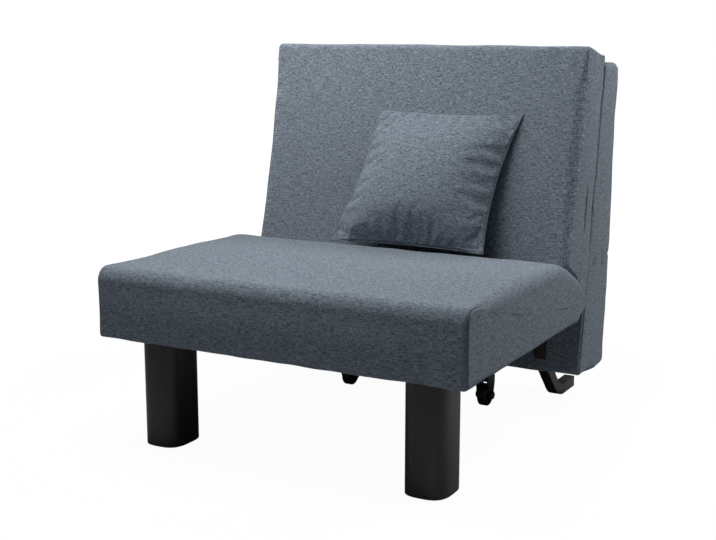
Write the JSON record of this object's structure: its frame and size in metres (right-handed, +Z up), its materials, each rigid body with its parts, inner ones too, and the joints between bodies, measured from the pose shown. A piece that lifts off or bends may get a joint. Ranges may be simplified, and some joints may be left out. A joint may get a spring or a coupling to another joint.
{
  "type": "convertible chair bed",
  "caption": "Upholstered armless chair that unfolds into a single bed: fixed seat, folding back rest and rear panel, front legs, castors, skids and a loose cushion.",
  "frame": {"origin": "on the floor, under the middle of the folded chair's bounding box", "axes": "+X to the right of someone looking at the chair's front, +Y from the seat's front to the back, +Z up"},
  "size_m": [0.82, 0.9134, 0.8281],
  "materials": {
    "upholstery_fabric": "matte",
    "lining_cloth": "matte",
    "foam": "matte",
    "frame_steel": "satin",
    "slat_beech": "satin",
    "cap_plastic": "matte",
    "leg_wood": "satin",
    "zinc_steel": "satin",
    "glide_plastic": "matte",
    "castor_plastic": "satin",
    "castor_rubber": "matte",
    "skid_metal": "satin",
    "plug_plastic": "satin",
    "cushion_filling": "matte"
  },
  "bodies": {
    "seat": {"seat_cover": "upholstery_fabric", "seat_lining": "lining_cloth", "seat_foam": "foam", "seat_frame": "frame_steel", "seat_slats": "slat_beech", "seat_slat_caps": "cap_plastic", "leg_plates": "zinc_steel", "leg_screws": "zinc_steel", "leg_studs": "zinc_steel", "leg_glides": "glide_plastic", "front_leg_left": "leg_wood", "front_leg_right": "leg_wood", "castor_strut_left": "frame_steel", "castor_strut_right": "frame_steel", "castor_fork_left": "castor_plastic", "castor_fork_right": "castor_plastic", "castor_axles": "zinc_steel", "seat_hinge_leaves": "frame_steel", "lower_hinge_bolts": "zinc_steel", "lower_hinge_washers": "zinc_steel", "lower_hinge_nuts": "zinc_steel"},
    "back_rest": {"back_cover": "upholstery_fabric", "back_lining": "lining_cloth", "back_foam": "foam", "back_frame": "frame_steel", "back_slats": "slat_beech", "back_slat_caps": "cap_plastic", "back_lower_leaves": "frame_steel", "back_upper_leaves": "frame_steel", "upper_hinge_bolts": "zinc_steel", "upper_hinge_washers": "zinc_steel", "upper_hinge_nuts": "zinc_steel"},
    "rear_panel": {"rear_cover": "upholstery_fabric", "rear_lining": "lining_cloth", "rear_foam": "foam", "rear_frame": "frame_steel", "rear_slats": "slat_beech", "rear_slat_caps": "cap_plastic", "rear_upper_leaves": "frame_steel", "skid_tube_left": "skid_metal", "skid_tube_right": "skid_metal", "skid_gussets": "frame_steel", "skid_tail_plugs": "plug_plastic", "skid_foot_plugs": "plug_plastic"},
    "castor_wheel_left": {"castor_hub_left": "castor_plastic", "castor_tyre_left": "castor_rubber"},
    "castor_wheel_right": {"castor_hub_right": "castor_plastic", "castor_tyre_right": "castor_rubber"},
    "loose_cushion": {"pillow_cover": "upholstery_fabric", "pillow_filling": "cushion_filling"}
  },
  "joints": [
    {"name": "back_fold", "type": "hinge", "parent": "seat", "child": "back_rest", "pos_m": [0, 0.2263, 0.253], "axis": [-1, 0, 0], "range_deg": [0, 77.6]},
    {"name": "rear_fold", "type": "hinge", "parent": "back_rest", "child": "rear_panel", "pos_m": [0, 0.33635, 0.80013], "axis": [1, 0, 0], "range_deg": [0, 169.02]},
    {"name": "castor_roll_left", "type": "hinge", "parent": "seat", "child": "castor_wheel_left", "pos_m": [-0.18, 0.1943, 0.026], "axis": [1, 0, 0], "continuous": true},
    {"name": "castor_roll_right", "type": "hinge", "parent": "seat", "child": "castor_wheel_right", "pos_m": [0.18, 0.1943, 0.026], "axis": [1, 0, 0], "continuous": true},
    {"name": "cushion_lift", "type": "slide", "parent": "seat", "child": "loose_cushion", "axis": [0, 0, 1], "range_m": [0, 0.35]}
  ],
  "couplings": [
    {"joint": "rear_fold", "follows": "back_fold", "ratio": 2.1781}
  ]
}
